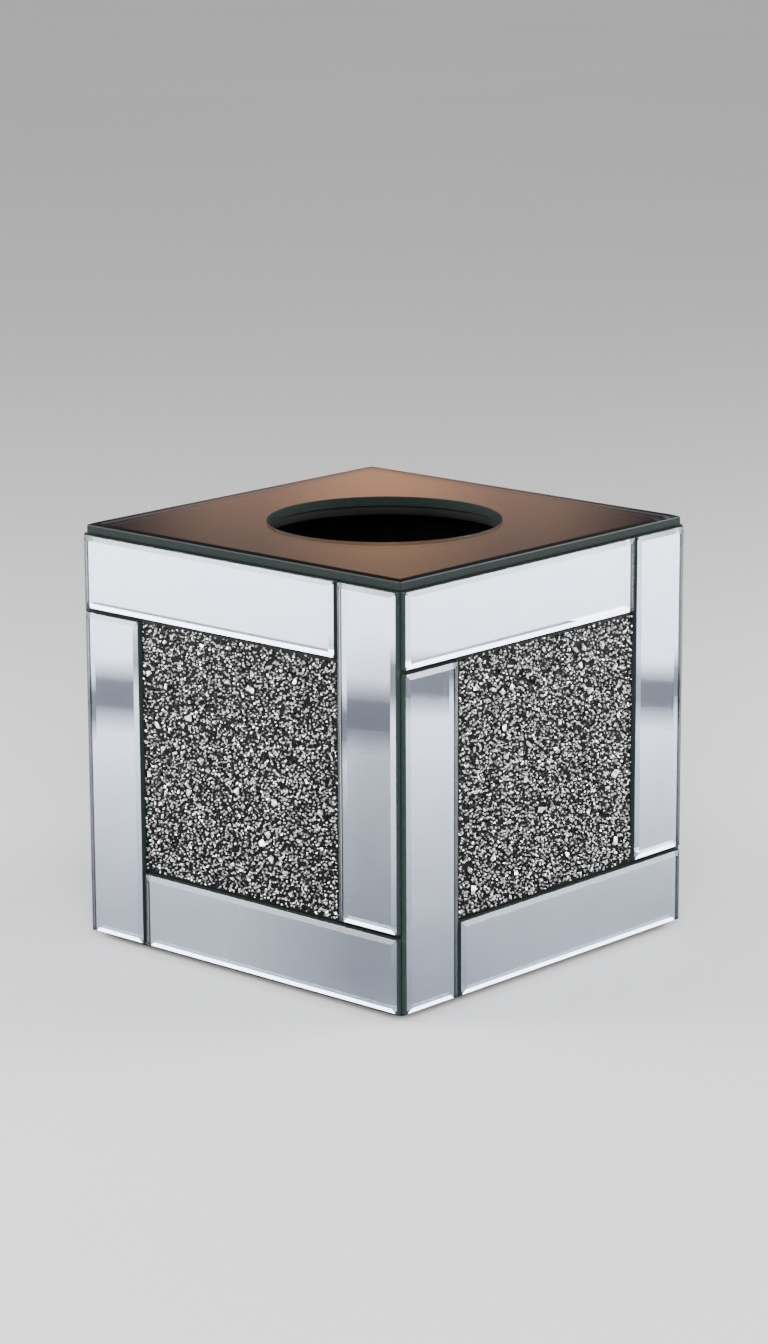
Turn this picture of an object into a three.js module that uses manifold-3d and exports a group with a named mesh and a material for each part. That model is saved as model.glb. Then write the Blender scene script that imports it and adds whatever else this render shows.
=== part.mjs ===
// A cube-shaped mirror tissue box with crushed-crystal windows, in millimetres, +Z up.
//
// The origin is on the table, under the middle of the box. The front faces -Y and the right side +X.
// A black board carcase carries the glass: one full-size mirror plate with a round hole on top, and on each
// side four bevelled mirror strips laid as a pinwheel round a bed of crushed crystal. The whole box lifts
// straight up off a low black base.
import * as THREE from "three";
import { ConvexGeometry } from "three/addons/geometries/ConvexGeometry.js";
import { mergeVertices } from "three/addons/utils/BufferGeometryUtils.js";
import Module from "manifold-3d";

// ---------------------------------------------------------------- driving dimensions

const WIDTH = 140; // across the mirror faces, left to right and front to back
const HEIGHT = 138.6; // table to the top of the top plate
const STAND = 2.7; // the glass and the walls end this far above the table
const GLASS = 2.65; // mirror strips
const TOP_GLASS = 3.3; // top plate
const GLUE = 0.15; // glue line between two pieces
const REST_GAP = 0.1; // between the walls and the base board they stand on

const STRIP = 24; // width of a mirror strip
const STRIP_GAP = 1.3; // between two strips of one side
const BEVEL_WIDTH = 1.8; // polished bevel round the face of every strip and of the top plate
const BEVEL_DEPTH = 0.6;

const HOLE_RADIUS = 37.8; // tissue hole in the top plate
const PLATE_OVERHANG = 0.45; // top plate past the back of the side strips
const HOLE_SETBACK = 1.5; // the board's hole is this much larger in radius than the glass's
const HOLE_SEGMENTS = 36; // steps in half of a hole's circle

const WALL = 4; // carcase walls
const TOP_BOARD = 3;
const CRYSTAL_BOARD = 0.6; // thin black board that carries the crystal
const CRYSTAL_BED = 1.7; // depth of the glued crystal
const WINDOW_MARGIN = 0.4; // between the strips and the crystal's board
const BED_MARGIN = 0.3; // bare board round the crystal
const BED_SLOPE = 0.5; // the crystal's depth falls away this far at its edges

const BASE_INSET = 1; // base board behind the walls' outer faces
const BASE_CORNER = 3;
const BOARD_EDGE = 0.3; // eased edges of the base boards
const LOCATING_BOARD = 3;
const LOCATING_CLEARANCE = 0.35; // between the locating board and the walls, on each side
const PAD_RADIUS = 8;
const PAD = 0.8; // felt pad
const PAD_INSET = 13; // pad centre from the base board's edges

const BLOCK_LEG = 13; // glue block's two short sides
const BLOCK_HEIGHT = 12;
const BLOCK_GAP = 0.2; // between the glue blocks and the locating board
const MAGNET_RADIUS = 3;
const MAGNET = 2;
const MAGNET_INSET = 4; // magnet centre from the walls' inner faces
const POCKET_CLEARANCE = 0.1; // round a magnet and under it
const ROUND = 40; // steps round a small disc

// ---------------------------------------------------------------- sizes worked out from them

const backOfGlass = WIDTH / 2 - GLASS;
const coreHalf = backOfGlass - GLUE;
const innerHalf = coreHalf - WALL;
const plateBottom = HEIGHT - TOP_GLASS;
const topBoardTop = plateBottom - GLUE;
const wallTop = topBoardTop - TOP_BOARD - GLUE;
const wallHeight = wallTop - STAND;
const stripTop = topBoardTop;
const baseTop = STAND - REST_GAP;
const baseBoardBottom = PAD + GLUE;
const locatingBottom = baseTop + GLUE;
const locatingTop = locatingBottom + LOCATING_BOARD;
const blockBottom = locatingTop + BLOCK_GAP;

// ---------------------------------------------------------------- materials

function finish(color, roughness, metalness) {
  return () => new THREE.MeshStandardMaterial({ color, roughness, metalness });
}
const mirror = finish(0xe2e7e6, 0.03, 1);
const blackPaint = finish(0x0c0c0d, 0.6, 0);
const crystal = finish(0xd5d8da, 0.15, 0);
const felt = finish(0x111112, 0.95, 0);
const nickel = finish(0xc9c8c4, 0.25, 1);

// ---------------------------------------------------------------- solids

const manifold = await Module();
manifold.setup();

// A three.js geometry as a manifold-3d solid.
function solid(geometry) {
  const bare = geometry.clone();
  bare.deleteAttribute("normal");
  bare.deleteAttribute("uv");
  const merged = mergeVertices(bare);
  return new manifold.Manifold(
    new manifold.Mesh({
      numProp: 3,
      vertProperties: merged.attributes.position.array,
      triVerts: new Uint32Array(merged.index.array),
    }),
  );
}

// One geometry with others cut out of it.
function cut(geometry, tools) {
  let left = solid(geometry);
  for (const tool of tools) left = left.subtract(solid(tool));
  const mesh = left.getMesh();
  const result = new THREE.BufferGeometry();
  const position = new THREE.BufferAttribute(new Float32Array(mesh.vertProperties), 3);
  result.setAttribute("position", position);
  result.setIndex(new THREE.BufferAttribute(new Uint32Array(mesh.triVerts), 1));
  result.computeVertexNormals();
  return result;
}

// A slab that lies in the XZ plane with its back at y = 0 and its face towards -Y. A bevel runs round the
// face, so the face is smaller than the back.
function bevelledSlab(width, height, thickness, bevelWidth, bevelDepth) {
  const layers = [
    { depth: 0, inset: 0 },
    { depth: thickness - bevelDepth, inset: 0 },
    { depth: thickness, inset: bevelWidth },
  ];
  const corners = [];
  for (const { depth, inset } of layers) {
    for (const sideX of [-1, 1]) {
      for (const sideZ of [-1, 1]) {
        const x = sideX * (width / 2 - inset);
        const z = sideZ * (height / 2 - inset);
        corners.push(new THREE.Vector3(x, -depth, z));
      }
    }
  }
  return new ConvexGeometry(corners);
}

// A square with rounded corners, centred on the origin.
function roundedSquare(half, radius) {
  const shape = new THREE.Shape();
  const inner = half - radius;
  shape.moveTo(half, -inner);
  shape.absarc(inner, inner, radius, 0, Math.PI / 2);
  shape.absarc(-inner, inner, radius, Math.PI / 2, Math.PI);
  shape.absarc(-inner, -inner, radius, Math.PI, 1.5 * Math.PI);
  shape.absarc(inner, -inner, radius, 1.5 * Math.PI, 2 * Math.PI);
  return shape;
}

function square(half) {
  const shape = new THREE.Shape();
  shape.moveTo(-half, -half);
  shape.lineTo(half, -half);
  shape.lineTo(half, half);
  shape.lineTo(-half, half);
  shape.closePath();
  return shape;
}

function roundHole(radius) {
  const hole = new THREE.Path();
  hole.absarc(0, 0, radius, 0, 2 * Math.PI, true);
  return hole;
}

// A board that lies flat with its underside at z = 0, its edges eased by a chamfer.
function flatBoard(shape, thickness, chamfer, steps) {
  const geometry = new THREE.ExtrudeGeometry(shape, {
    depth: thickness - 2 * chamfer,
    bevelEnabled: chamfer > 0,
    bevelThickness: chamfer,
    bevelSize: chamfer,
    bevelOffset: -chamfer,
    bevelSegments: 1,
    curveSegments: steps,
  });
  return geometry.translate(0, 0, chamfer);
}

// An upright disc with its underside at z = 0.
function disc(radius, height, steps = ROUND) {
  const geometry = new THREE.CylinderGeometry(radius, radius, height, steps);
  return geometry.rotateX(Math.PI / 2).translate(0, 0, height / 2);
}

// ---------------------------------------------------------------- assembly

const box = new THREE.Group(); // lifts off
const base = new THREE.Group(); // stands on the table

function place(group, name, geometry, material, x, y, z) {
  const mesh = new THREE.Mesh(geometry, material());
  mesh.name = name;
  mesh.position.set(x, y, z);
  group.add(mesh);
}

// The four mirror strips of one side, in that side's own frame: x to the right as seen from outside, z up,
// the face towards -Y. Each strip starts at one corner of the side and stops short of the next strip.
function mirrorStrips(side, name) {
  const across = 2 * backOfGlass;
  const tall = stripTop - STAND;
  const long = across - STRIP - STRIP_GAP;
  const high = tall - STRIP - STRIP_GAP;
  const left = -backOfGlass;
  const right = backOfGlass;
  const layout = {
    top: { w: long, h: STRIP, x: left + long / 2, z: stripTop - STRIP / 2 },
    right: { w: STRIP, h: high, x: right - STRIP / 2, z: stripTop - high / 2 },
    bottom: { w: long, h: STRIP, x: right - long / 2, z: STAND + STRIP / 2 },
    left: { w: STRIP, h: high, x: left + STRIP / 2, z: STAND + high / 2 },
  };
  for (const [edge, { w, h, x, z }] of Object.entries(layout)) {
    const strip = bevelledSlab(w, h, GLASS, BEVEL_WIDTH, BEVEL_DEPTH);
    place(side, `${name}_${edge}_mirror`, strip, mirror, x, -backOfGlass, z);
  }
}

// The crushed crystal and its board, in the window that the strips leave.
function crystalWindow(side, name) {
  const width = 2 * (backOfGlass - STRIP - WINDOW_MARGIN);
  const height = stripTop - STAND - 2 * (STRIP + WINDOW_MARGIN);
  const middle = (stripTop + STAND) / 2;
  const boardBack = -backOfGlass;
  const bedBack = boardBack - CRYSTAL_BOARD - GLUE;
  const bedWidth = width - 2 * BED_MARGIN;
  const bedHeight = height - 2 * BED_MARGIN;
  const board = bevelledSlab(width, height, CRYSTAL_BOARD, 0, 0);
  const bed = bevelledSlab(bedWidth, bedHeight, CRYSTAL_BED, BED_SLOPE, BED_SLOPE);
  place(side, `${name}_crystal_board`, board, blackPaint, 0, boardBack, middle);
  place(side, `${name}_crystal_bed`, bed, crystal, 0, bedBack, middle);
}

// Front and back walls run the full width, and the left and right walls fit between them.
function wall(side, name, half) {
  const geometry = new THREE.BoxGeometry(2 * half, WALL, wallHeight);
  const y = -coreHalf + WALL / 2;
  place(side, `${name}_wall`, geometry, blackPaint, 0, y, STAND + wallHeight / 2);
}

function sides() {
  const betweenWalls = innerHalf - GLUE;
  const turns = {
    front: { quarter: 0, wallHalf: coreHalf },
    right: { quarter: 1, wallHalf: betweenWalls },
    back: { quarter: 2, wallHalf: coreHalf },
    left: { quarter: 3, wallHalf: betweenWalls },
  };
  for (const [name, { quarter, wallHalf }] of Object.entries(turns)) {
    const side = new THREE.Group();
    side.rotation.z = (quarter * Math.PI) / 2;
    mirrorStrips(side, name);
    crystalWindow(side, name);
    wall(side, name, wallHalf);
    box.add(side);
  }
}

function top() {
  const across = 2 * (backOfGlass + PLATE_OVERHANG);
  const plate = bevelledSlab(across, across, TOP_GLASS, BEVEL_WIDTH, BEVEL_DEPTH);
  plate.rotateX(-Math.PI / 2);
  const hole = disc(HOLE_RADIUS, 3 * TOP_GLASS, 2 * HOLE_SEGMENTS);
  const plateGlass = cut(plate, [hole.translate(0, 0, -TOP_GLASS)]);
  const board = square(coreHalf);
  board.holes.push(roundHole(HOLE_RADIUS + HOLE_SETBACK));
  const topBoard = flatBoard(board, TOP_BOARD, 0, HOLE_SEGMENTS);
  place(box, "top_mirror_plate", plateGlass, mirror, 0, 0, plateBottom);
  place(box, "top_board", topBoard, blackPaint, 0, 0, topBoardTop - TOP_BOARD);
}

// A three-cornered block with its right angle in a corner of the carcase at the origin, filling towards
// -X and -Y, with a pocket for a magnet in its underside.
function glueBlock() {
  const triangle = new THREE.Shape();
  triangle.moveTo(0, 0);
  triangle.lineTo(-BLOCK_LEG, 0);
  triangle.lineTo(0, -BLOCK_LEG);
  triangle.closePath();
  const block = flatBoard(triangle, BLOCK_HEIGHT, 0, 1);
  const pocket = disc(MAGNET_RADIUS + POCKET_CLEARANCE, 2 * (MAGNET + POCKET_CLEARANCE));
  pocket.translate(-MAGNET_INSET, -MAGNET_INSET, -MAGNET - POCKET_CLEARANCE);
  return cut(block, [pocket]);
}

const corners = {
  front_left: [-1, -1],
  front_right: [1, -1],
  back_right: [1, 1],
  back_left: [-1, 1],
};

function cornerBlocks() {
  const at = innerHalf - GLUE;
  for (const [name, [sideX, sideY]] of Object.entries(corners)) {
    const corner = new THREE.Group();
    corner.position.set(sideX * at, sideY * at, blockBottom);
    corner.rotation.z = Math.atan2(sideY, sideX) - Math.PI / 4;
    place(corner, `${name}_glue_block`, glueBlock(), blackPaint, 0, 0, 0);
    const magnet = disc(MAGNET_RADIUS, MAGNET);
    place(corner, `${name}_box_magnet`, magnet, nickel, -MAGNET_INSET, -MAGNET_INSET, 0);
    box.add(corner);
  }
}

function baseParts() {
  const half = coreHalf - BASE_INSET;
  const board = flatBoard(
    roundedSquare(half, BASE_CORNER),
    baseTop - baseBoardBottom,
    BOARD_EDGE,
    ROUND / 4,
  );
  place(base, "base_board", board, blackPaint, 0, 0, baseBoardBottom);

  const locatingHalf = innerHalf - LOCATING_CLEARANCE;
  const magnetAt = innerHalf - GLUE - MAGNET_INSET;
  const magnetBottom = LOCATING_BOARD - MAGNET;
  const pockets = Object.values(corners).map(([sideX, sideY]) =>
    disc(MAGNET_RADIUS + POCKET_CLEARANCE, 2 * MAGNET).translate(
      sideX * magnetAt,
      sideY * magnetAt,
      magnetBottom - POCKET_CLEARANCE,
    ),
  );
  const locatingShape = roundedSquare(locatingHalf, BASE_CORNER);
  const locating = flatBoard(locatingShape, LOCATING_BOARD, BOARD_EDGE, ROUND / 4);
  place(base, "locating_board", cut(locating, pockets), blackPaint, 0, 0, locatingBottom);

  const padAt = half - PAD_INSET;
  for (const [name, [sideX, sideY]] of Object.entries(corners)) {
    const pad = disc(PAD_RADIUS, PAD);
    place(base, `${name}_felt_pad`, pad, felt, sideX * padAt, sideY * padAt, 0);
    const magnet = disc(MAGNET_RADIUS, MAGNET);
    const magnetZ = locatingBottom + magnetBottom;
    place(
      base,
      `${name}_base_magnet`,
      magnet,
      nickel,
      sideX * magnetAt,
      sideY * magnetAt,
      magnetZ,
    );
  }
}

sides();
top();
cornerBlocks();
baseParts();

const tissueBox = new THREE.Group();
tissueBox.add(base, box);
export default tissueBox;
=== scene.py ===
"""Looks of the mirror tissue box: bevelled silvered glass, crushed crystal, black board, felt and nickel.

Metres, +Z up, in the CAD model's own frame. Pieces take their places and overall sizes from the CAD nodes'
boxes. The bevels' width and depth and the hole's radius repeat the CAD's values.
"""

import math

import bmesh
import bpy
import numpy as np
from mathutils import Matrix, Vector

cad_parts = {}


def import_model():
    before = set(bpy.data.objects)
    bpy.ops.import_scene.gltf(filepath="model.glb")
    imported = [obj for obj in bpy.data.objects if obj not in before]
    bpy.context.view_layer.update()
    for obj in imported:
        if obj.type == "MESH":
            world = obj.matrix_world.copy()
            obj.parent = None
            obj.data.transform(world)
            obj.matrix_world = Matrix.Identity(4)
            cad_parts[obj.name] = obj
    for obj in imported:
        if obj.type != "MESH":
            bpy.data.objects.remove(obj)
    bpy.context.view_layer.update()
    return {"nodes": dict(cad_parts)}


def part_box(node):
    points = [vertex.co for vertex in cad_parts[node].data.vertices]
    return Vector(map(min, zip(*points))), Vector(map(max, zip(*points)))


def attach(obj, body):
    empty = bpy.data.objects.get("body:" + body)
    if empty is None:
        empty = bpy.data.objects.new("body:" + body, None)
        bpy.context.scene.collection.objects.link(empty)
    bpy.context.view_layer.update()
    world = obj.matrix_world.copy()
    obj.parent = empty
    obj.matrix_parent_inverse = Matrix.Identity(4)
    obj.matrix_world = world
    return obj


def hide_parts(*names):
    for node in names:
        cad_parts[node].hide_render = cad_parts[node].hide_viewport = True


MM = 0.001
SEED = 20260

SIDES = ("front", "right", "back", "left")
EDGES = ("top", "right", "bottom", "left")
CORNERS = ("front_left", "front_right", "back_right", "back_left")

# ---------------------------------------------------------------- small helpers


def link(obj):
    bpy.context.scene.collection.objects.link(obj)
    return obj


def mesh_object(name, vertices, faces, materials, slots=None, smooth=None):
    """An object from plain lists. slots gives each face's material slot, smooth each face's shading."""
    mesh = bpy.data.meshes.new(name)
    mesh.from_pydata(vertices, [], faces)
    for material in materials:
        mesh.materials.append(material)
    if slots is not None:
        mesh.polygons.foreach_set("material_index", slots)
    if smooth is not None:
        mesh.polygons.foreach_set("use_smooth", smooth)
    mesh.validate()
    mesh.update()
    return link(bpy.data.objects.new(name, mesh))


def side_axes(side):
    """(right as seen from outside, outward) of one side of the box."""
    quarter = SIDES.index(side) * math.pi / 2
    turn = Matrix.Rotation(quarter, 3, "Z")
    return turn @ Vector((1, 0, 0)), turn @ Vector((0, -1, 0))


def side_box(side, node):
    """A node's centre, and its width, depth and height as its own side sees them."""
    low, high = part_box(node)
    along, outward = side_axes(side)
    size = high - low
    width = abs(size.dot(along))
    depth = abs(size.dot(outward))
    return (low + high) / 2, width, depth, size.z


# ---------------------------------------------------------------- node materials


class Nodes:
    """Short hand for building one material's node tree."""

    def __init__(self, name):
        self.material = bpy.data.materials.new(name)
        self.material.use_nodes = True
        self.tree = self.material.node_tree
        self.tree.nodes.clear()
        self.output = self.tree.nodes.new("ShaderNodeOutputMaterial")

    def add(self, kind, **settings):
        node = self.tree.nodes.new("ShaderNode" + kind)
        for key, value in settings.items():
            setattr(node, key, value)
        return node

    def join(self, source, target):
        self.tree.links.new(source, target)

    def surface(self, shader):
        self.join(shader.outputs[0], self.output.inputs["Surface"])

    def principled(self, **values):
        node = self.add("BsdfPrincipled")
        for key, value in values.items():
            node.inputs[key.replace("_", " ")].default_value = value
        return node

    def noise(self, scale, detail=4.0, roughness=0.55):
        """Noise over the piece's own space, at a number of grains to the metre."""
        where = self.add("TexCoord")
        node = self.add("TexNoise")
        node.inputs["Scale"].default_value = scale
        node.inputs["Detail"].default_value = detail
        node.inputs["Roughness"].default_value = roughness
        self.join(where.outputs["Object"], node.inputs["Vector"])
        return node

    def ramp(self, source, *stops):
        """A colour ramp. Each stop is (position, grey or colour)."""
        node = self.add("ValToRGB")
        points = node.color_ramp.elements
        while len(points) < len(stops):
            points.new(0.5)
        for point, (position, value) in zip(points, stops):
            point.position = position
            colour = value if isinstance(value, tuple) else (value,) * 3
            point.color = (*colour, 1)
        self.join(source, node.inputs["Fac"])
        return node

    def bump(self, height, distance, shader, strength=1.0):
        node = self.add("Bump")
        node.inputs["Strength"].default_value = strength
        node.inputs["Distance"].default_value = distance
        self.join(height, node.inputs["Height"])
        self.join(node.outputs["Normal"], shader.inputs["Normal"])


def clear_glass():
    """The polished faces of the glass: clear, with the faintest haze of handling."""
    n = Nodes("polished_glass")
    shader = n.principled(Roughness=0.0, IOR=1.52, Transmission_Weight=1.0)
    haze = n.noise(45.0, detail=3.0)
    tint = n.ramp(
        haze.outputs["Fac"],
        (0.3, (0.975, 0.99, 0.985)),
        (0.7, (0.99, 1.0, 0.995)),
    )
    n.join(tint.outputs["Color"], shader.inputs["Base Color"])
    n.surface(shader)
    return n.material


GRINDING_SPREAD = 0.12  # how much rougher the coarsest grinding marks are than the finest


def ground_edge(name, dark, light, roughness):
    """A ground glass edge: the sheet's dark green body seen through fine grinding marks."""
    n = Nodes(name)
    shader = n.principled(Specular_IOR_Level=0.1)
    marks = n.noise(900.0, detail=6.0, roughness=0.6)
    colour = n.ramp(marks.outputs["Fac"], (0.3, dark), (0.7, light))
    gloss = n.ramp(marks.outputs["Fac"], (0.3, roughness), (0.7, roughness + GRINDING_SPREAD))
    n.join(colour.outputs["Color"], shader.inputs["Base Color"])
    n.join(gloss.outputs["Color"], shader.inputs["Roughness"])
    n.bump(marks.outputs["Fac"], 0.00003, shader, 0.4)
    n.surface(shader)
    return n.material


def silvering():
    """The silver layer on the back of the glass, with the faintest unevenness of its tint."""
    n = Nodes("silver_layer")
    shader = n.principled(Metallic=1.0, Roughness=0.0)
    cloud = n.noise(60.0, detail=3.0)
    tint = n.ramp(
        cloud.outputs["Fac"],
        (0.35, (0.63, 0.70, 0.845)),
        (0.65, (0.66, 0.73, 0.87)),
    )
    n.join(tint.outputs["Color"], shader.inputs["Base Color"])
    n.surface(shader)
    return n.material


def black_paint():
    """Matt black paint rolled on fibreboard: a fine orange-peel grain, with faint greyer rubbed spots."""
    n = Nodes("black_board_paint")
    shader = n.principled(Specular_IOR_Level=0.12)
    patches = n.noise(90.0, detail=6.0)
    colour = n.ramp(patches.outputs["Fac"], (0.3, 0.003), (0.62, 0.006), (0.8, 0.013))
    gloss = n.ramp(patches.outputs["Fac"], (0.3, 0.55), (0.8, 0.75))
    n.join(colour.outputs["Color"], shader.inputs["Base Color"])
    n.join(gloss.outputs["Color"], shader.inputs["Roughness"])
    grain = n.noise(2600.0, detail=5.0, roughness=0.65)
    n.bump(grain.outputs["Fac"], 0.00006, shader, 0.5)
    n.surface(shader)
    return n.material


def crystal_chips():
    """Foil-backed crushed glass: each chip has its own tone, from smoky black to bright white."""
    n = Nodes("crushed_crystal")
    tone = n.add("Attribute", attribute_name="chip_tone")
    streaks = n.noise(1400.0, detail=3.0)
    veil = n.ramp(streaks.outputs["Fac"], (0.35, 0.7), (0.65, 1.0))
    mixed = n.add("Mix", data_type="RGBA", blend_type="MULTIPLY")
    mixed.inputs["Factor"].default_value = 1.0
    n.join(tone.outputs["Color"], mixed.inputs["A"])
    n.join(veil.outputs["Color"], mixed.inputs["B"])
    shader = n.principled(Metallic=0.65, Specular_IOR_Level=0.5)
    n.join(mixed.outputs["Result"], shader.inputs["Base Color"])
    gloss = n.ramp(streaks.outputs["Fac"], (0.3, 0.14), (0.7, 0.3))
    n.join(gloss.outputs["Color"], shader.inputs["Roughness"])
    n.surface(shader)
    return n.material


def felt_cloth():
    """Black wool felt: matted fibres, soft sheen at grazing angles."""
    n = Nodes("black_felt")
    shader = n.principled(Roughness=0.95, Specular_IOR_Level=0.1, Sheen_Weight=0.5)
    fibres = n.noise(3200.0, detail=8.0, roughness=0.7)
    colour = n.ramp(fibres.outputs["Fac"], (0.3, 0.006), (0.7, 0.03))
    n.join(colour.outputs["Color"], shader.inputs["Base Color"])
    n.bump(fibres.outputs["Fac"], 0.0002, shader, 0.9)
    n.surface(shader)
    return n.material


def nickel_plate():
    """Nickel plating on a small magnet, with fine tumbling scratches."""
    n = Nodes("nickel_plate")
    shader = n.principled(Metallic=1.0)
    scratches = n.noise(1800.0, detail=6.0)
    colour = n.ramp(
        scratches.outputs["Fac"],
        (0.3, (0.56, 0.54, 0.5)),
        (0.7, (0.68, 0.66, 0.62)),
    )
    gloss = n.ramp(scratches.outputs["Fac"], (0.3, 0.18), (0.7, 0.34))
    n.join(colour.outputs["Color"], shader.inputs["Base Color"])
    n.join(gloss.outputs["Color"], shader.inputs["Roughness"])
    n.surface(shader)
    return n.material


# ---------------------------------------------------------------- mirror glass

BEVEL_WIDTH = 1.8 * MM
BEVEL_DEPTH = 0.6 * MM
EDGE_ARRIS = 0.12 * MM  # the tiny flats where two ground faces meet
CORNER_EASE = 0.25 * MM  # the strips' four standing corners
FACE_EASE = 0.2  # the corners of the flat face are rounded by this share of that
CORNER_STEPS = 3
GLASS_SLOT, SILVER_SLOT, EDGE_SLOT, ARRIS_SLOT = 0, 1, 2, 3
STRIP_RING_SLOTS = (EDGE_SLOT, EDGE_SLOT, ARRIS_SLOT, GLASS_SLOT)


def eased_rectangle(half_width, half_height, ease):
    """Points round a rectangle with small rounded corners, anticlockwise as seen from its face."""
    points = []
    for quarter, (sx, sy) in enumerate(((1, 1), (-1, 1), (-1, -1), (1, -1))):
        centre_x = sx * (half_width - ease)
        centre_y = sy * (half_height - ease)
        for step in range(CORNER_STEPS + 1):
            angle = (quarter + step / CORNER_STEPS) * math.pi / 2
            points.append(
                (centre_x + ease * math.cos(angle), centre_y + ease * math.sin(angle))
            )
    return points


def bevelled_glass(name, side, node, materials):
    """One strip: silver on its back, ground edges with tiny arrises, and a polished bevel round its face."""
    centre, width, depth, height = side_box(side, node)
    along, outward = side_axes(side)
    up = Vector((0, 0, 1))
    shoulder = depth - BEVEL_DEPTH
    slope = BEVEL_DEPTH / BEVEL_WIDTH
    layers = (
        (EDGE_ARRIS, 0.0, CORNER_EASE),
        (0.0, EDGE_ARRIS, CORNER_EASE),
        (0.0, shoulder - EDGE_ARRIS, CORNER_EASE),
        (EDGE_ARRIS, shoulder + EDGE_ARRIS * slope, CORNER_EASE),
        (BEVEL_WIDTH, depth, CORNER_EASE * FACE_EASE),
    )
    vertices = []
    for inset, out, ease in layers:
        for x, y in eased_rectangle(width / 2 - inset, height / 2 - inset, ease):
            vertices.append(centre + along * x + up * y + outward * (out - depth / 2))
    count = len(vertices) // len(layers)
    faces = [list(range(count))[::-1]]
    slots = [SILVER_SLOT]
    for layer in range(len(layers) - 1):
        first = layer * count
        for i in range(count):
            j = (i + 1) % count
            faces.append([first + i, first + j, first + count + j, first + count + i])
            slots.append(STRIP_RING_SLOTS[layer])
    faces.append([(len(layers) - 1) * count + i for i in range(count)])
    slots.append(GLASS_SLOT)
    return mesh_object(name, vertices, faces, materials, slots)


def mirror_strips(materials):
    """Four strips on each side, laid as a pinwheel."""
    for side in SIDES:
        for edge in EDGES:
            node = f"{side}_{edge}_mirror"
            piece = bevelled_glass(f"{side}_{edge}_mirror_strip", side, node, materials)
            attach(piece, "box")
            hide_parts(node)


PLATE_FOOT = 0.15 * MM  # arris along the plate's lower edge
SHOULDER_DROP = 0.25 * MM  # the arris between the plate's edge and its bevel
SHOULDER_INSET = 0.2 * MM
RIM_ARRIS = 0.25 * MM  # on both rims of the hole
HOLE_RADIUS = 37.8 * MM
RIM_STEPS = 180
RIM_SMOOTHING = math.radians(8)  # well under the bevel's 18 degrees, so the flat face stays flat
PLATE_EASE = 0.3 * MM  # the plate's four standing corners
CUT_SHARE = 0.5  # how much of that the corner loses, along the ray through it


def square_point(angle, half, ease):
    """Where the ray at that angle leaves a square with slightly eased corners."""
    c, s = math.cos(angle), math.sin(angle)
    reach = half / max(abs(c), abs(s))
    corner = abs(abs(c) - abs(s)) * half
    if corner < ease:
        reach -= (ease - corner) * CUT_SHARE
    return reach * c, reach * s


def top_plate(materials):
    """The full-size mirror plate: a bevel round its face, a hole with eased rims, silver underneath."""
    node = "top_mirror_plate"
    low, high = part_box(node)
    half = (high.x - low.x) / 2
    thickness = high.z - low.z
    angles = [2 * math.pi * i / RIM_STEPS for i in range(RIM_STEPS)]
    for corner in range(4):
        middle = (corner + 0.5) * math.pi / 2
        spread = PLATE_EASE / half
        angles += [middle - spread / 2, middle + spread / 2]
    angles.sort()
    shoulder = thickness - BEVEL_DEPTH
    slope = BEVEL_DEPTH / BEVEL_WIDTH
    outer = (
        (PLATE_FOOT, 0.0, EDGE_SLOT),
        (0.0, PLATE_FOOT, EDGE_SLOT),
        (0.0, shoulder - SHOULDER_DROP, ARRIS_SLOT),
        (SHOULDER_INSET, shoulder + SHOULDER_INSET * slope, GLASS_SLOT),
        (BEVEL_WIDTH, thickness, GLASS_SLOT),
    )
    rim = (
        (RIM_ARRIS, thickness, ARRIS_SLOT),
        (0.0, thickness - RIM_ARRIS, EDGE_SLOT),
        (0.0, RIM_ARRIS, EDGE_SLOT),
        (RIM_ARRIS, 0.0, SILVER_SLOT),
    )
    ring_slots = [slot for _, _, slot in outer + rim]
    vertices, faces, slots, smooth = [], [], [], []
    for inset, z, _ in outer:
        for a in angles:
            x, y = square_point(a, half - inset, PLATE_EASE)
            vertices.append((x, y, low.z + z))
    for inset, z, _ in rim:
        radius = HOLE_RADIUS + inset
        for a in angles:
            vertices.append((radius * math.cos(a), radius * math.sin(a), low.z + z))
    count = len(angles)
    rings = len(vertices) // count
    for ring in range(rings):
        following = (ring + 1) % rings
        for i in range(count):
            j = (i + 1) % count
            a, b = ring * count, following * count
            faces.append([a + i, a + j, b + j, b + i])
            slots.append(ring_slots[ring])
            smooth.append(len(outer) <= ring < rings - 1)
    piece = mesh_object("top_mirror_glass", vertices, faces, materials, slots, smooth)
    piece.data.set_sharp_from_angle(angle=RIM_SMOOTHING)
    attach(piece, "box")
    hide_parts(node)


# ---------------------------------------------------------------- crushed crystal

CHIP_SHAPES = 48
CHIP_CORNERS = 9
CORNER_REACH = (0.75, 1.0)  # how far a chip's corners lie from its middle, in half-lengths
CHIP_PITCH = 1.02 * MM
CHIP_JITTER = 0.36  # as a share of the pitch
CHIP_SIZE = (0.4 * MM, 0.95 * MM)  # half-lengths
COMMON_SIZE = 1.15  # the commonest half-length, in smallest ones
CHIP_STRETCH = (0.62, 1.0)  # each chip's three axes, in half-lengths
BIG_CHIPS = 34
BIG_SIZE = (1.2 * MM, 2.3 * MM)
BIG_CLEARING = 0.95  # small chips keep this far from a big one's middle, in its half-lengths

EDGE_HEAP = 0.42  # how much of the bed's depth the chips fill, at its edge and away from it
FULL_HEAP = 0.8
EDGE_ZONE = 4 * MM  # how far in from the edge the heap grows
LIFT_SHARE = 0.4  # a chip's half-thickness counts as at most this share of the heap
LIFT_ROOM = 1.5  # half-thicknesses of the heap that a chip can't rise through
LIFT_START = 0.6  # half-thicknesses from a chip's rise up to its middle
SMALL_RISE = (0.05, 0.55)  # shares of the rest that the small chips rise through
TONE_RISE = 0.4  # the further share that a pure white chip rises through
BIG_RISE = (0.9, 1.0)

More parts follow.
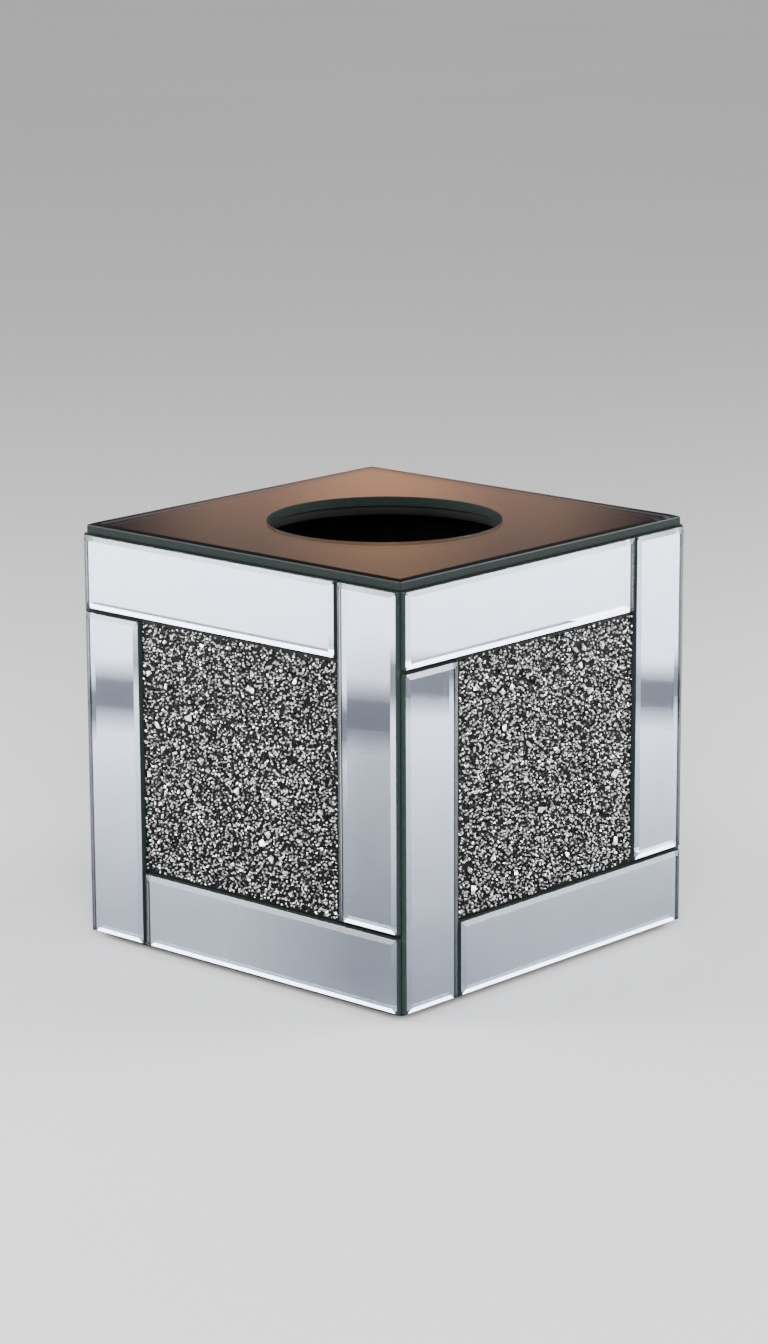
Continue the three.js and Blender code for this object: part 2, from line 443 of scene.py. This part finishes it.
BRIGHT_SHARE = 0.46
MID_SHARE = 0.27
BRIGHT_TONES = (0.75, 0.98)
MID_TONES = (0.2, 0.5)
DARK_TONES = (0.008, 0.03)
BIG_TONES = (0.8, 0.98)
CHIP_TINT = (1.0, 1.005, 1.015)  # very slightly cool


def chip_shapes(rng):
    """A set of small angular lumps, each the hull of a few random points, about one unit in radius."""
    shapes = []
    while len(shapes) < CHIP_SHAPES:
        points = rng.normal(size=(CHIP_CORNERS, 3))
        points /= np.linalg.norm(points, axis=1)[:, None]
        points *= rng.uniform(*CORNER_REACH, (CHIP_CORNERS, 1))
        build = bmesh.new()
        for p in points:
            build.verts.new(p)
        hull = bmesh.ops.convex_hull(build, input=build.verts)
        loose = [v for v in hull["geom_interior"] if isinstance(v, bmesh.types.BMVert)]
        bmesh.ops.delete(build, geom=loose, context="VERTS")
        build.verts.index_update()
        corners = np.array([v.co for v in build.verts])
        triangles = np.array([[v.index for v in f.verts] for f in build.faces])
        build.free()
        if len(corners) == CHIP_CORNERS:
            shapes.append((corners, triangles))
    return shapes


def random_turns(rng, count):
    """Random rotation matrices from unit quaternions."""
    q = rng.normal(size=(count, 4))
    q /= np.linalg.norm(q, axis=1)[:, None]
    w, x, y, z = q.T
    return np.stack(
        [
            np.stack([1 - 2 * (y * y + z * z), 2 * (x * y - z * w), 2 * (x * z + y * w)], 1),
            np.stack([2 * (x * y + z * w), 1 - 2 * (x * x + z * z), 2 * (y * z - x * w)], 1),
            np.stack([2 * (x * z - y * w), 2 * (y * z + x * w), 1 - 2 * (x * x + y * y)], 1),
        ],
        1,
    )


def chip_layout(rng, width, height):
    """Centres and half-lengths: big chips first, then a jittered close packing that leaves room for them."""
    places, sizes = [], []
    for _ in range(BIG_CHIPS):
        size = rng.uniform(*BIG_SIZE)
        x = rng.uniform(-width / 2 + size, width / 2 - size)
        y = rng.uniform(-height / 2 + size, height / 2 - size)
        places.append((x, y))
        sizes.append(size)
    big = np.array(places)
    reach = np.array(sizes)
    row_step = CHIP_PITCH * math.sqrt(3) / 2
    rows = int(height / row_step)
    columns = int(width / CHIP_PITCH)
    for row in range(rows + 1):
        for column in range(columns + 1):
            x = -width / 2 + (column + 0.5 * (row % 2)) * CHIP_PITCH
            y = -height / 2 + row * row_step
            x += rng.normal(0, CHIP_JITTER) * CHIP_PITCH
            y += rng.normal(0, CHIP_JITTER) * CHIP_PITCH
            size = rng.triangular(CHIP_SIZE[0], CHIP_SIZE[0] * COMMON_SIZE, CHIP_SIZE[1])
            if abs(x) > width / 2 - size or abs(y) > height / 2 - size:
                continue
            if np.any(np.hypot(big[:, 0] - x, big[:, 1] - y) < reach * BIG_CLEARING):
                continue
            places.append((x, y))
            sizes.append(size)
    return np.array(places), np.array(sizes)


def chip_tones(rng, sizes):
    """Grey tone of each chip: bright white, mid grey or smoky black. The big ones are all pale."""
    count = len(sizes)
    share = rng.uniform(size=count)
    bright = rng.uniform(*BRIGHT_TONES, count)
    mid = rng.uniform(*MID_TONES, count)
    dark = rng.uniform(*DARK_TONES, count)
    tones = np.where(share < BRIGHT_SHARE + MID_SHARE, mid, dark)
    tones = np.where(share < BRIGHT_SHARE, bright, tones)
    big = sizes >= BIG_SIZE[0]
    tones[big] = rng.uniform(*BIG_TONES, int(big.sum()))
    return tones


def crystal_window(side, material, rng, shapes):
    """One window's bed of crushed crystal: a few thousand closed chips, heaped on the black board."""
    node = f"{side}_crystal_bed"
    centre, width, depth, height = side_box(side, node)
    along, outward = side_axes(side)
    places, sizes = chip_layout(rng, width, height)
    tones = chip_tones(rng, sizes)
    count = len(sizes)
    turns = random_turns(rng, count)
    stretch = rng.uniform(*CHIP_STRETCH, (count, 3)) * sizes[:, None]
    limits = np.array([width, height]) / 2
    from_edge = np.min(limits - np.abs(places), axis=1)
    from_edge = np.clip(from_edge / EDGE_ZONE, 0.0, 1.0)
    heap = depth * (EDGE_HEAP + (FULL_HEAP - EDGE_HEAP) * from_edge)
    lift = np.minimum(stretch.min(1), heap * LIFT_SHARE)
    room = heap - LIFT_ROOM * lift
    rise = (rng.uniform(*SMALL_RISE, count) + TONE_RISE * tones) * room
    rise[:BIG_CHIPS] = rng.uniform(*BIG_RISE, BIG_CHIPS) * room[:BIG_CHIPS]
    middle = rise + lift * LIFT_START - depth / 2
    half_box = np.array([width, height, depth]) / 2
    basis = np.array([along, (0, 0, 1), outward])
    chosen = rng.integers(0, CHIP_SHAPES, count)
    vertices, triangles, colours = [], [], []
    first = 0
    for i in range(count):
        corners, faces = shapes[chosen[i]]
        local = (corners * stretch[i]) @ turns[i].T
        # No chip is thicker than the heap it lies in.
        local[:, 2] *= min(1.0, 0.5 * heap[i] / np.abs(local[:, 2]).max())
        local += (*places[i], middle[i])
        local = np.clip(local, -half_box, half_box)
        vertices.append(local @ basis + np.array(centre))
        triangles.append(faces + first)
        colours.append(np.full(len(corners), tones[i]))
        first += len(corners)
    vertices = np.concatenate(vertices).tolist()
    triangles = np.concatenate(triangles).tolist()
    piece = mesh_object(f"{side}_crushed_crystal", vertices, triangles, [material])
    grey = np.concatenate(colours)
    layer = piece.data.color_attributes.new("chip_tone", "FLOAT_COLOR", "POINT")
    rgba = np.stack([*(grey * share for share in CHIP_TINT), np.ones_like(grey)], 1)
    layer.data.foreach_set("color", rgba.astype(np.float32).ravel())
    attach(piece, "box")
    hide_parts(node)


def crystal_windows(material):
    """All four windows, from one seeded run of random numbers."""
    rng = np.random.default_rng(SEED)
    shapes = chip_shapes(rng)
    for side in SIDES:
        crystal_window(side, material, rng, shapes)


# ---------------------------------------------------------------- boards, felt and magnets

BOARD_ROUND = 0.25 * MM
THIN_BOARD_ROUND = 0.1 * MM
SAME_POINT = 1e-6
FLAT_ANGLE = math.radians(1)  # facets flatter than this to each other are one face
EASED_ANGLE = math.radians(30)  # edges sharper than this are rounded
BOARD_SMOOTHING = math.radians(35)
DISC_STEPS = 64
DISC_SMOOTHING = math.radians(40)
FELT_PROFILE = ((0.93, 0.0), (0.985, 0.06), (1.0, 0.4), (0.985, 0.8), (0.94, 0.95), (0.8, 1.0))
MAGNET_PROFILE = ((0.94, 0.0), (0.985, 0.035), (1.0, 0.1), (1.0, 0.9), (0.985, 0.965), (0.94, 1.0))


def eased_board(node, body, material, ease=BOARD_ROUND):
    """A board with the CAD node's own outline and softly rounded, painted edges."""
    source = frame["nodes"][node]
    mesh = source.data.copy()
    mesh.name = f"{node}_painted"
    mesh.materials.clear()
    mesh.materials.append(material)
    build = bmesh.new()
    build.from_mesh(mesh)
    bmesh.ops.remove_doubles(build, verts=build.verts, dist=SAME_POINT)
    bmesh.ops.dissolve_limit(build, angle_limit=FLAT_ANGLE, verts=build.verts, edges=build.edges)
    sharp = [e for e in build.edges if e.calc_face_angle(0) > EASED_ANGLE]
    bmesh.ops.bevel(
        build,
        geom=sharp,
        offset=ease,
        segments=2,
        profile=0.5,
        affect="EDGES",
        clamp_overlap=True,
    )
    bmesh.ops.recalc_face_normals(build, faces=build.faces)
    build.to_mesh(mesh)
    build.free()
    mesh.shade_smooth()
    mesh.set_sharp_from_angle(angle=BOARD_SMOOTHING)
    piece = link(bpy.data.objects.new(f"{node}_painted", mesh))
    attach(piece, body)
    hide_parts(node)


def boards(material):
    """The black carcase, the crystal's boards, the glue blocks and the two base boards."""
    for side in SIDES:
        eased_board(f"{side}_wall", "box", material)
        eased_board(f"{side}_crystal_board", "box", material, THIN_BOARD_ROUND)
    eased_board("top_board", "box", material)
    for corner in CORNERS:
        eased_board(f"{corner}_glue_block", "box", material)
    eased_board("base_board", "base", material)
    eased_board("locating_board", "base", material)


def turned_disc(name, node, profile, material):
    """A disc turned from a profile of (share of the radius, share of the height), from its underside up."""
    steps = DISC_STEPS
    low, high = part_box(node)
    centre = (low + high) / 2
    radius = (high.x - low.x) / 2
    height = high.z - low.z
    vertices, faces = [], []
    for share, level in profile:
        for i in range(steps):
            angle = 2 * math.pi * i / steps
            x = centre.x + radius * share * math.cos(angle)
            y = centre.y + radius * share * math.sin(angle)
            vertices.append((x, y, low.z + height * level))
    faces.append(list(range(steps))[::-1])
    for ring in range(len(profile) - 1):
        for i in range(steps):
            j = (i + 1) % steps
            a, b = ring * steps, (ring + 1) * steps
            faces.append([a + i, a + j, b + j, b + i])
    faces.append([(len(profile) - 1) * steps + i for i in range(steps)])
    smooth = [True] * len(faces)
    piece = mesh_object(name, vertices, faces, [material], None, smooth)
    piece.data.set_sharp_from_angle(angle=DISC_SMOOTHING)
    return piece


def felt_pads(material):
    """Round felt pads, pressed a little thinner at their cut rims."""
    for corner in CORNERS:
        node = f"{corner}_felt_pad"
        piece = turned_disc(f"{corner}_felt", node, FELT_PROFILE, material)
        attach(piece, "base")
        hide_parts(node)


def magnets(material):
    """Small disc magnets with the rounded rims that plating leaves."""
    for body in ("box", "base"):
        for corner in CORNERS:
            node = f"{corner}_{body}_magnet"
            piece = turned_disc(f"{corner}_{body}_disc", node, MAGNET_PROFILE, material)
            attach(piece, body)
            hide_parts(node)


# ---------------------------------------------------------------- stage

CAMERA_AZIMUTH = 42.287
CAMERA_ELEVATION = 13.391
CAMERA_ROLL = -0.258
CAMERA_DISTANCE = 1.28803
CAMERA_TARGET_HEIGHT = 0.08782
CAMERA_SIDEWAYS = -0.00042
LENS_MM = 106.16
SENSOR_MM = 36
CAMERA_CLIP = (0.05, 100)
FLOOR_HALF = 20.0


def camera():
    """A long lens looking slightly down on the corner between the front and right sides."""
    azimuth = math.radians(CAMERA_AZIMUTH)
    elevation = math.radians(CAMERA_ELEVATION)
    roll = math.radians(CAMERA_ROLL)
    back = Vector(
        (
            math.sin(azimuth) * math.cos(elevation),
            -math.cos(azimuth) * math.cos(elevation),
            math.sin(elevation),
        )
    )
    level = Vector((math.cos(azimuth), math.sin(azimuth), 0))
    upward = back.cross(level)
    right = level * math.cos(roll) + upward * math.sin(roll)
    top = upward * math.cos(roll) - level * math.sin(roll)
    place = Vector((0, 0, CAMERA_TARGET_HEIGHT)) + back * CAMERA_DISTANCE
    place += right * CAMERA_SIDEWAYS
    data = bpy.data.cameras.new("camera")
    data.lens = LENS_MM
    data.sensor_width = SENSOR_MM
    data.sensor_fit = "AUTO"
    data.clip_start, data.clip_end = CAMERA_CLIP
    obj = link(bpy.data.objects.new("camera", data))
    turn = Matrix((right, top, back)).transposed().to_4x4()
    obj.matrix_world = Matrix.Translation(place) @ turn
    bpy.context.scene.camera = obj


def floor_material():
    """A plain pale floor with the faintest clouding."""
    n = Nodes("pale_floor")
    shader = n.principled(Roughness=0.6, Specular_IOR_Level=0.3)
    cloud = n.noise(3.0, detail=3.0)
    colour = n.ramp(cloud.outputs["Fac"], (0.3, (0.80, 0.80, 0.81)), (0.7, (0.83, 0.83, 0.84)))
    n.join(colour.outputs["Color"], shader.inputs["Base Color"])
    n.surface(shader)
    return n.material


def level_sheet(name, length, width, material):
    """A flat rectangle round the origin."""
    x, y = length / 2, width / 2
    corners = [(-x, -y, 0), (x, -y, 0), (x, y, 0), (-x, y, 0)]
    return mesh_object(name, corners, [[0, 1, 2, 3]], [material])


def stage_floor():
    """A floor that runs well past everything in view."""
    level_sheet("floor", 2 * FLOOR_HALF, 2 * FLOOR_HALF, floor_material())


def soft_light(name, place, target, width, height, power):
    """A rectangular area light that the camera doesn't see."""
    data = bpy.data.lights.new(name, "AREA")
    data.shape = "RECTANGLE"
    data.size = width
    data.size_y = height
    data.energy = power
    obj = link(bpy.data.objects.new(name, data))
    obj.location = place
    obj.rotation_mode = "QUATERNION"
    obj.rotation_quaternion = (Vector(target) - Vector(place)).to_track_quat("-Z", "Y")
    obj.visible_camera = False


# Flags: dark sheets that only the mirrors see. They paint dark reflections and reflected shade into the
# mirrors.
FLAG_WIDTH = 0.12
FLAG_CORE = 0.018  # half the width of a flag's full density
FLAG_LENGTH = 0.6
FLAG_DENSITY = 0.95
FLAG_HEIGHT = 0.003
LEFT_FLAG = (-0.246, -0.321)
LEFT_FLAG_TURN = math.radians(-21.9)
RIGHT_FLAG = (0.310, 0.285)
RIGHT_FLAG_TURN = math.radians(150.7)

NEAR_FLAG_LENGTH = 0.66
NEAR_FLAG_DENSITY = 0.62
NEAR_FLAG_START = Vector((0.055, -0.073, 0.002))
NEAR_FLAG_ALONG = 0.3  # how far its middle lies along its run, in lengths
NEAR_FLAG_ASIDE = 0.012
NEAR_SHEET = 0.34  # half the sheet's side
NEAR_SHEET_CORE = 0.12
NEAR_SHEET_DENSITY = 0.5
NEAR_SHEET_HEIGHT = 0.001


def mirror_only_shade(name, density_of):
    """A black sheet, seen only in reflections, that paints dark reflections and shade into the mirrors; it
    lets through what density_of, given the nodes, leaves of it.
    """
    n = Nodes(name)
    card = n.principled(Base_Color=(0.02, 0.02, 0.022, 1), Roughness=0.9)
    gone = n.add("BsdfTransparent")
    mixed = n.add("MixShader")
    n.join(density_of(n), mixed.inputs[0])
    n.join(gone.outputs[0], mixed.inputs[1])
    n.join(card.outputs[0], mixed.inputs[2])
    n.surface(mixed)
    return n.material


def fading_flag(name, density, length):
    """A flag of that density along its middle, faded out towards all four edges."""

    def density_of(n):
        where = n.add("TexCoord")
        split = n.add("SeparateXYZ")
        n.join(where.outputs["Object"], split.inputs[0])
        parts = []
        for axis, core, edge, most in (
            ("Y", FLAG_CORE, FLAG_WIDTH / 2, density),
            ("X", length / 4, length / 2, 1.0),
        ):
            off = n.add("Math", operation="ABSOLUTE")
            n.join(split.outputs[axis], off.inputs[0])
            parts.append(n.ramp(off.outputs[0], (core, most), (edge, 0.0)))
        both = n.add("Math", operation="MULTIPLY")
        n.join(parts[0].outputs["Color"], both.inputs[0])
        n.join(parts[1].outputs["Color"], both.inputs[1])
        return both.outputs[0]

    return mirror_only_shade(name, density_of)


def fading_sheet(name, density, core, edge):
    """A sheet of that density near its middle, faded out all round."""

    def density_of(n):
        where = n.add("TexCoord")
        off = n.add("VectorMath", operation="LENGTH")
        n.join(where.outputs["Object"], off.inputs[0])
        return n.ramp(off.outputs["Value"], (core, density), (edge, 0.0)).outputs["Color"]

    return mirror_only_shade(name, density_of)


def flag(name, material, length, width, place, turn):
    """A level sheet that only the mirrors show, hidden from the camera, diffuse light and shadows: it paints
    dark reflections.
    """
    piece = level_sheet(name, length, width, material)
    piece.location = place
    piece.rotation_euler.z = turn
    piece.visible_camera = False
    piece.visible_diffuse = False
    piece.visible_shadow = False


def flags():
    """Soft dark sheets just above the floor round the box, which only the mirrors show. They paint the
    mirrors' dark bands and reflected shade.
    """
    band = fading_flag("painted_dark_reflection", FLAG_DENSITY, FLAG_LENGTH)
    left = (*LEFT_FLAG, FLAG_HEIGHT)
    right = (*RIGHT_FLAG, FLAG_HEIGHT)
    flag("left_flag", band, FLAG_LENGTH, FLAG_WIDTH, left, LEFT_FLAG_TURN)
    flag("right_flag", band, FLAG_LENGTH, FLAG_WIDTH, right, RIGHT_FLAG_TURN)
    # This one lies where the front side's right strip looks, and paints shade into that strip's reflection
    # most.
    along = math.radians(270 - CAMERA_AZIMUTH)
    run = Vector((math.cos(along), math.sin(along), 0))
    near = NEAR_FLAG_START + run * NEAR_FLAG_LENGTH * NEAR_FLAG_ALONG
    near += Vector((-run.y, run.x, 0)) * NEAR_FLAG_ASIDE
    strip = fading_flag("painted_reflected_shade", NEAR_FLAG_DENSITY, NEAR_FLAG_LENGTH)
    flag("near_flag", strip, NEAR_FLAG_LENGTH, FLAG_WIDTH, near, along)
    # This one lies under and round the box, and paints shade into the reflections on the lower parts of all
    # the sides' mirrors.
    sheet = fading_sheet("painted_reflected_shade_sheet", NEAR_SHEET_DENSITY, NEAR_SHEET_CORE, NEAR_SHEET)
    under = (0, 0, NEAR_SHEET_HEIGHT)
    flag("near_sheet", sheet, 2 * NEAR_SHEET, 2 * NEAR_SHEET, under, 0.0)


SOFTBOX_SIDEWAYS = 0.86
SOFTBOX_HEIGHT = 0.45
SOFTBOX_SIZE = (0.8, 0.5)
SOFTBOX_WATTS = 15
KEY_AWAY = 1.45
KEY_HEIGHT = 0.75
KEY_SIZE = (0.7, 0.7)
KEY_WATTS = 34
KEY_TARGET = (0, 0, 0.07)


def lights():
    """Two soft boxes that light the floor on each side, and a soft key light behind and above the camera."""
    azimuth = math.radians(CAMERA_AZIMUTH)
    across = Vector((math.cos(azimuth), math.sin(azimuth), 0))
    for name, sign in (("left_softbox", -1), ("right_softbox", 1)):
        floor_point = across * sign * SOFTBOX_SIDEWAYS
        place = floor_point + Vector((0, 0, SOFTBOX_HEIGHT))
        soft_light(name, place, floor_point, *SOFTBOX_SIZE, SOFTBOX_WATTS)
    toward = Vector((math.sin(azimuth), -math.cos(azimuth), 0))
    place = toward * KEY_AWAY + Vector((0, 0, KEY_HEIGHT))
    soft_light("front_key", place, KEY_TARGET, *KEY_SIZE, KEY_WATTS)


WORLD_STRENGTH = 10.0
BACKDROP = (0.465, 0.466, 0.47)


def world():
    """Soft pale surroundings, warm and dimmer low down in front of and behind the box."""
    made = bpy.data.worlds.new("studio")
    made.use_nodes = True
    bpy.context.scene.world = made
    tree = made.node_tree
    tree.nodes.clear()
    add = tree.nodes.new
    out = add("ShaderNodeOutputWorld")
    glow = add("ShaderNodeBackground")
    where = add("ShaderNodeTexCoord")
    split = add("ShaderNodeSeparateXYZ")
    tree.links.new(where.outputs["Generated"], split.inputs[0])

    def math_node(kind, a, b=None):
        node = add("ShaderNodeMath")
        node.operation = kind
        for socket, value in zip(node.inputs, (a, b)):
            if value is None:
                continue
            if isinstance(value, (int, float)):
                socket.default_value = value
            else:
                tree.links.new(value, socket)
        return node.outputs[0]

    def ramp(source, *stops):
        node = add("ShaderNodeValToRGB")
        node.color_ramp.interpolation = "EASE"
        points = node.color_ramp.elements
        while len(points) < len(stops):
            points.new(0.5)
        for point, (position, colour) in zip(points, stops):
            point.position = position
            point.color = (*colour, 1)
        tree.links.new(source, node.inputs["Fac"])
        return node.outputs["Color"]

    def mix(factor, a, b):
        node = add("ShaderNodeMix")
        node.data_type = "RGBA"
        for key, value in (("Factor", factor), ("A", a), ("B", b)):
            socket = node.inputs[key]
            if isinstance(value, tuple):
                socket.default_value = (*value, 1)
            else:
                tree.links.new(value, socket)
        return node.outputs["Result"]

    def product(a, b):
        node = add("ShaderNodeMix")
        node.data_type = "RGBA"
        node.blend_type = "MULTIPLY"
        node.inputs["Factor"].default_value = 1.0
        tree.links.new(a, node.inputs["A"])
        tree.links.new(b, node.inputs["B"])
        return node.outputs["Result"]

    # How far round from the camera's axis a direction lies: 0 along it, 1 square to it.
    azimuth = math.radians(CAMERA_AZIMUTH)
    x_part = math_node("MULTIPLY", split.outputs["X"], math.cos(azimuth))
    y_part = math_node("MULTIPLY", split.outputs["Y"], math.sin(azimuth))
    across = math_node("ABSOLUTE", math_node("ADD", x_part, y_part))
    height = split.outputs["Z"]
    low_side = ramp(
        across,
        (0.0, (0.083, 0.0415, 0.0225)),
        (0.035, (0.044, 0.0255, 0.0170)),
        (0.078, (0.0042, 0.0040, 0.0040)),
        (0.45, (0.02, 0.02, 0.02)),
        (0.82, (1.0, 1.0, 1.0)),
    )
    dome = ramp(
        height,
        (0.0, (0.034, 0.035, 0.036)),
        (0.4, (0.030, 0.031, 0.032)),
        (0.6, (0.014, 0.0145, 0.015)),
    )
    blend = ramp(height, (0.24, (0, 0, 0)), (0.34, (1, 1, 1)))
    # The warm part is darker higher up, which the near part of the top plate shows.
    fall = ramp(height, (0.178, (1, 1, 1)), (0.212, (0.38, 0.45, 0.52)))
    sideways = ramp(across, (0.1, (0, 0, 0)), (0.3, (1, 1, 1)))
    fading = mix(sideways, fall, (1.0, 1.0, 1.0))
    low_side = product(low_side, fading)
    colour = mix(blend, low_side, dome)
    tree.links.new(colour, glow.inputs["Color"])
    glow.inputs["Strength"].default_value = WORLD_STRENGTH

    # The camera sees one plain pale backdrop above the floor in place of these surroundings.
    backdrop = add("ShaderNodeBackground")
    backdrop.inputs["Color"].default_value = (*BACKDROP, 1)
    rays = add("ShaderNodeLightPath")
    choose = add("ShaderNodeMixShader")
    tree.links.new(rays.outputs["Is Camera Ray"], choose.inputs[0])
    tree.links.new(glow.outputs[0], choose.inputs[1])
    tree.links.new(backdrop.outputs[0], choose.inputs[2])
    tree.links.new(choose.outputs[0], out.inputs["Surface"])


# ---------------------------------------------------------------- build

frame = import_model()

glass = clear_glass()
silver = silvering()
strip_edge = ground_edge("strip_edge", (0.015, 0.025, 0.024), (0.025, 0.040, 0.038), 0.4)
# The plate's edge is the same ground glass as the strips' edges, painted about a third as bright: painted
# shade.
shaded_plate_edge = ground_edge("shaded_plate_edge", (0.005, 0.0088, 0.0078), (0.009, 0.0145, 0.013), 0.4)
# The arris's lower roughness is its polish. Its colour, lighter than the plate's edge, paints a line of
# light along it: a painted highlight.
arris = ground_edge("polished_arris_highlight", (0.016, 0.021, 0.0195), (0.026, 0.032, 0.030), 0.25)
mirror_strips([glass, silver, strip_edge, arris])
top_plate([glass, silver, shaded_plate_edge, arris])
crystal_windows(crystal_chips())
boards(black_paint())
felt_pads(felt_cloth())
magnets(nickel_plate())

camera()
stage_floor()
flags()
lights()
world()
